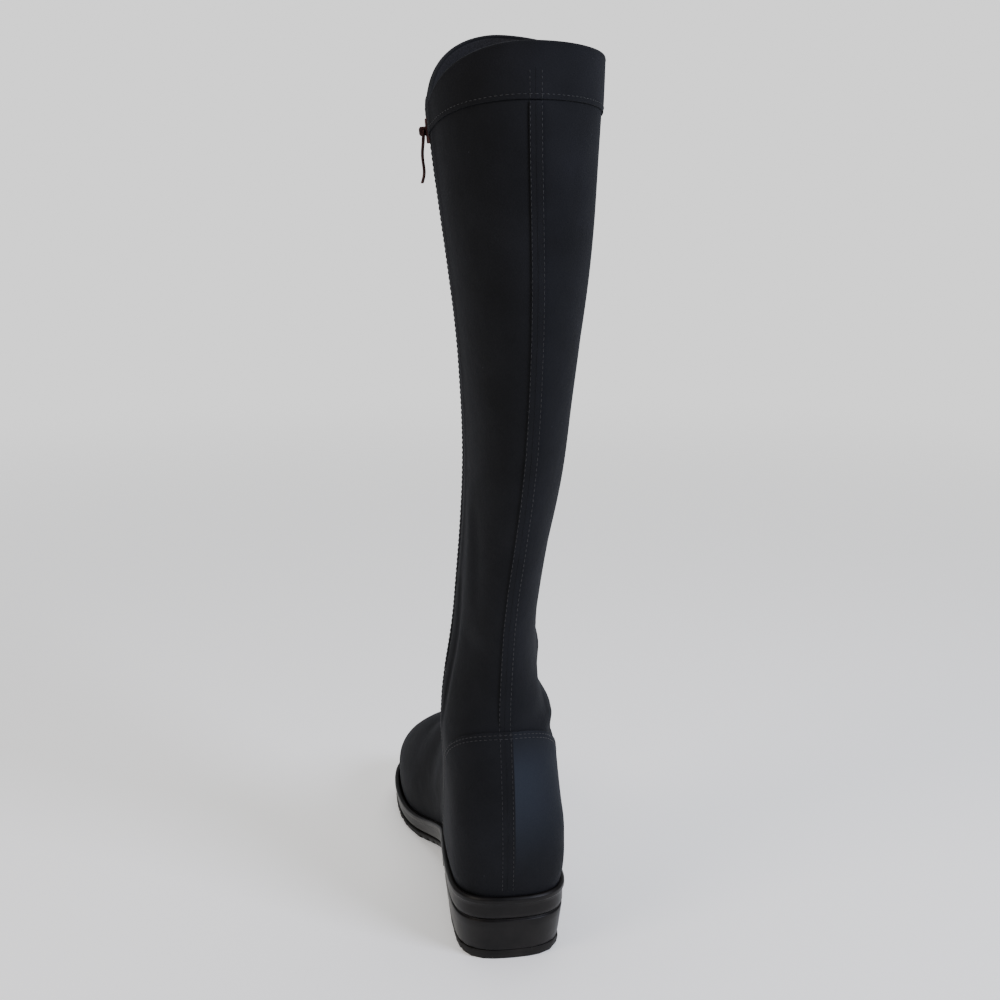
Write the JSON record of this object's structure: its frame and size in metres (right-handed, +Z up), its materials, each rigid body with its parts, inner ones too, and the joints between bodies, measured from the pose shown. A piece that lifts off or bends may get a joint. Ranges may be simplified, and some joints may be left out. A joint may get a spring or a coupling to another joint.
{
  "type": "knee-high boot",
  "caption": "Right knee-high boot: stretch fabric upper with a hem band, back seam and inner side zip, on a moulded rubber sole with a low block heel",
  "frame": {"origin": "middle of the heel's flat tread, on the floor", "axes": "+Z up the shaft, +Y from heel to toe, +X to the wearer's outer side"},
  "size_m": [0.1014, 0.2775, 0.508],
  "materials": {
    "fabric": "brushed black stretch microfibre",
    "zip_cloth": "woven zip tape",
    "zip_coil": "moulded coil",
    "metal": "dark lacquered zinc",
    "lining": "felted lining cloth",
    "rubber": "moulded charcoal rubber"
  },
  "bodies": {
    "boot": {"upper": "fabric", "heel_counter": "fabric", "hem_band": "fabric", "back_seam": "fabric", "zip_tape": "zip_cloth", "zip_coil": "zip_coil", "zip_slider": "metal", "insole": "lining", "sole_rand": "rubber", "outsole": "rubber", "heel_block": "rubber", "heel_top_piece": "rubber"},
    "pull": {"zip_pull": "metal"}
  },
  "joints": [
    {"name": "pull_hinge", "type": "hinge", "parent": "boot", "child": "pull", "pos_m": [-0.03855, 0.02533, 0.45525], "axis": [0.0608, 0.9982, 0], "range_deg": [-6, 165]}
  ]
}
